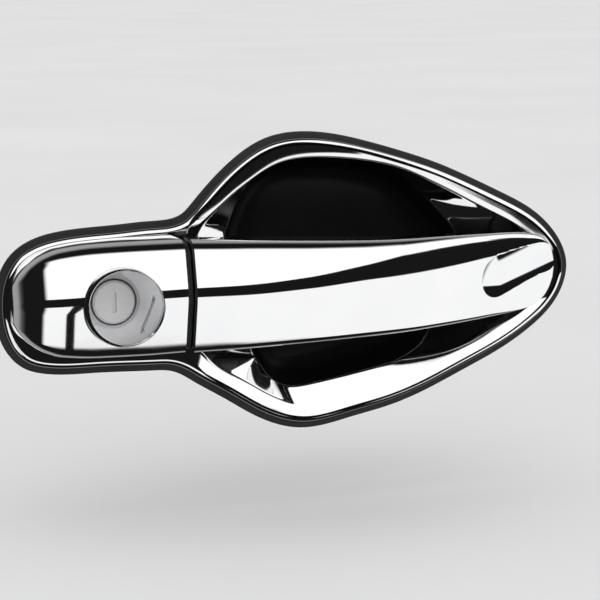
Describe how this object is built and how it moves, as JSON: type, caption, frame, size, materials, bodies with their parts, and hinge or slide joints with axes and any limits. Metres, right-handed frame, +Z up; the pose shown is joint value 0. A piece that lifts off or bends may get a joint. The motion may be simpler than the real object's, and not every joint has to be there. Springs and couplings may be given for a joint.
{
  "type": "car door outside handle",
  "caption": "Chrome outside pull handle for a car door: diamond escutcheon with finger pocket, hinged grip, lock cylinder cap and rear mechanism.",
  "frame": {"origin": "outer face of the door skin, in the middle of the handle's length and height", "axes": "+X forward along the door (lock cylinder at the -X end), +Y inboard through the door skin, +Z up; right-hand front door"},
  "size_m": [0.2477, 0.0834, 0.1222],
  "materials": {
    "chrome": "bright decorative chrome plating on moulded ABS",
    "gasket_rubber": "matt black EPDM rubber",
    "black_nylon": "black glass-filled nylon, fine moulded grain",
    "die_cast": "zinc die casting, light cast texture",
    "brass": "machined brass",
    "satin_steel": "satin plated steel",
    "steel": "zinc plated steel",
    "clip_plastic": "natural acetal"
  },
  "bodies": {
    "housing": {"bowl": "chrome", "bowl_gasket": "gasket_rubber", "lock_cap": "chrome", "cap_seal": "gasket_rubber", "cylinder_bezel": "chrome", "cylinder_housing": "die_cast", "cylinder_seal": "gasket_rubber", "plug_spring": "steel", "crank_pin": "steel", "pin_clip": "steel", "crank_spring": "steel", "carrier": "black_nylon", "fixing_inserts": "brass", "hinge_pin": "steel", "carrier_screws": "steel", "cap_screws": "steel", "cylinder_retainer": "steel", "rest_bumper": "gasket_rubber"},
    "grip": {"grip_cover": "chrome", "grip_base": "black_nylon", "grip_screws": "steel", "hook_pad": "gasket_rubber"},
    "bell_crank": {"bell_crank": "die_cast", "crank_weight": "steel", "crank_rod_clip": "clip_plastic"},
    "lock_plug": {"cylinder_plug": "brass", "lock_wafers": "brass", "plug_face": "satin_steel", "tail_lever": "steel", "tail_clip": "steel", "lock_rod_clip": "clip_plastic"},
    "shutter": {"keyhole_shutter": "satin_steel"}
  },
  "joints": [
    {"name": "grip_pull", "type": "hinge", "parent": "housing", "child": "grip", "pos_m": [0.108, 0.012, 0], "axis": [0, 0, 1], "range_deg": [0, 8], "stiffness_Nm_per_rad": 2, "springref_deg": -2.86},
    {"name": "bell_crank_turn", "type": "hinge", "parent": "housing", "child": "bell_crank", "pos_m": [-0.0535, 0.024, -0.022], "axis": [1, 0, 0], "range_deg": [0, 68.8], "stiffness_Nm_per_rad": 0.02},
    {"name": "cylinder_turn", "type": "hinge", "parent": "housing", "child": "lock_plug", "pos_m": [-0.078, 0, -0.002], "axis": [0, 1, 0], "range_deg": [-60, 60], "stiffness_Nm_per_rad": 0.02},
    {"name": "shutter_open", "type": "hinge", "parent": "lock_plug", "child": "shutter", "pos_m": [-0.08, -0.00935, -0.002], "axis": [0, 0, 1], "range_deg": [0, 75], "stiffness_Nm_per_rad": 0.00002}
  ],
  "couplings": [
    {"joint": "bell_crank_turn", "follows": "grip_pull", "ratio": 8.6}
  ]
}
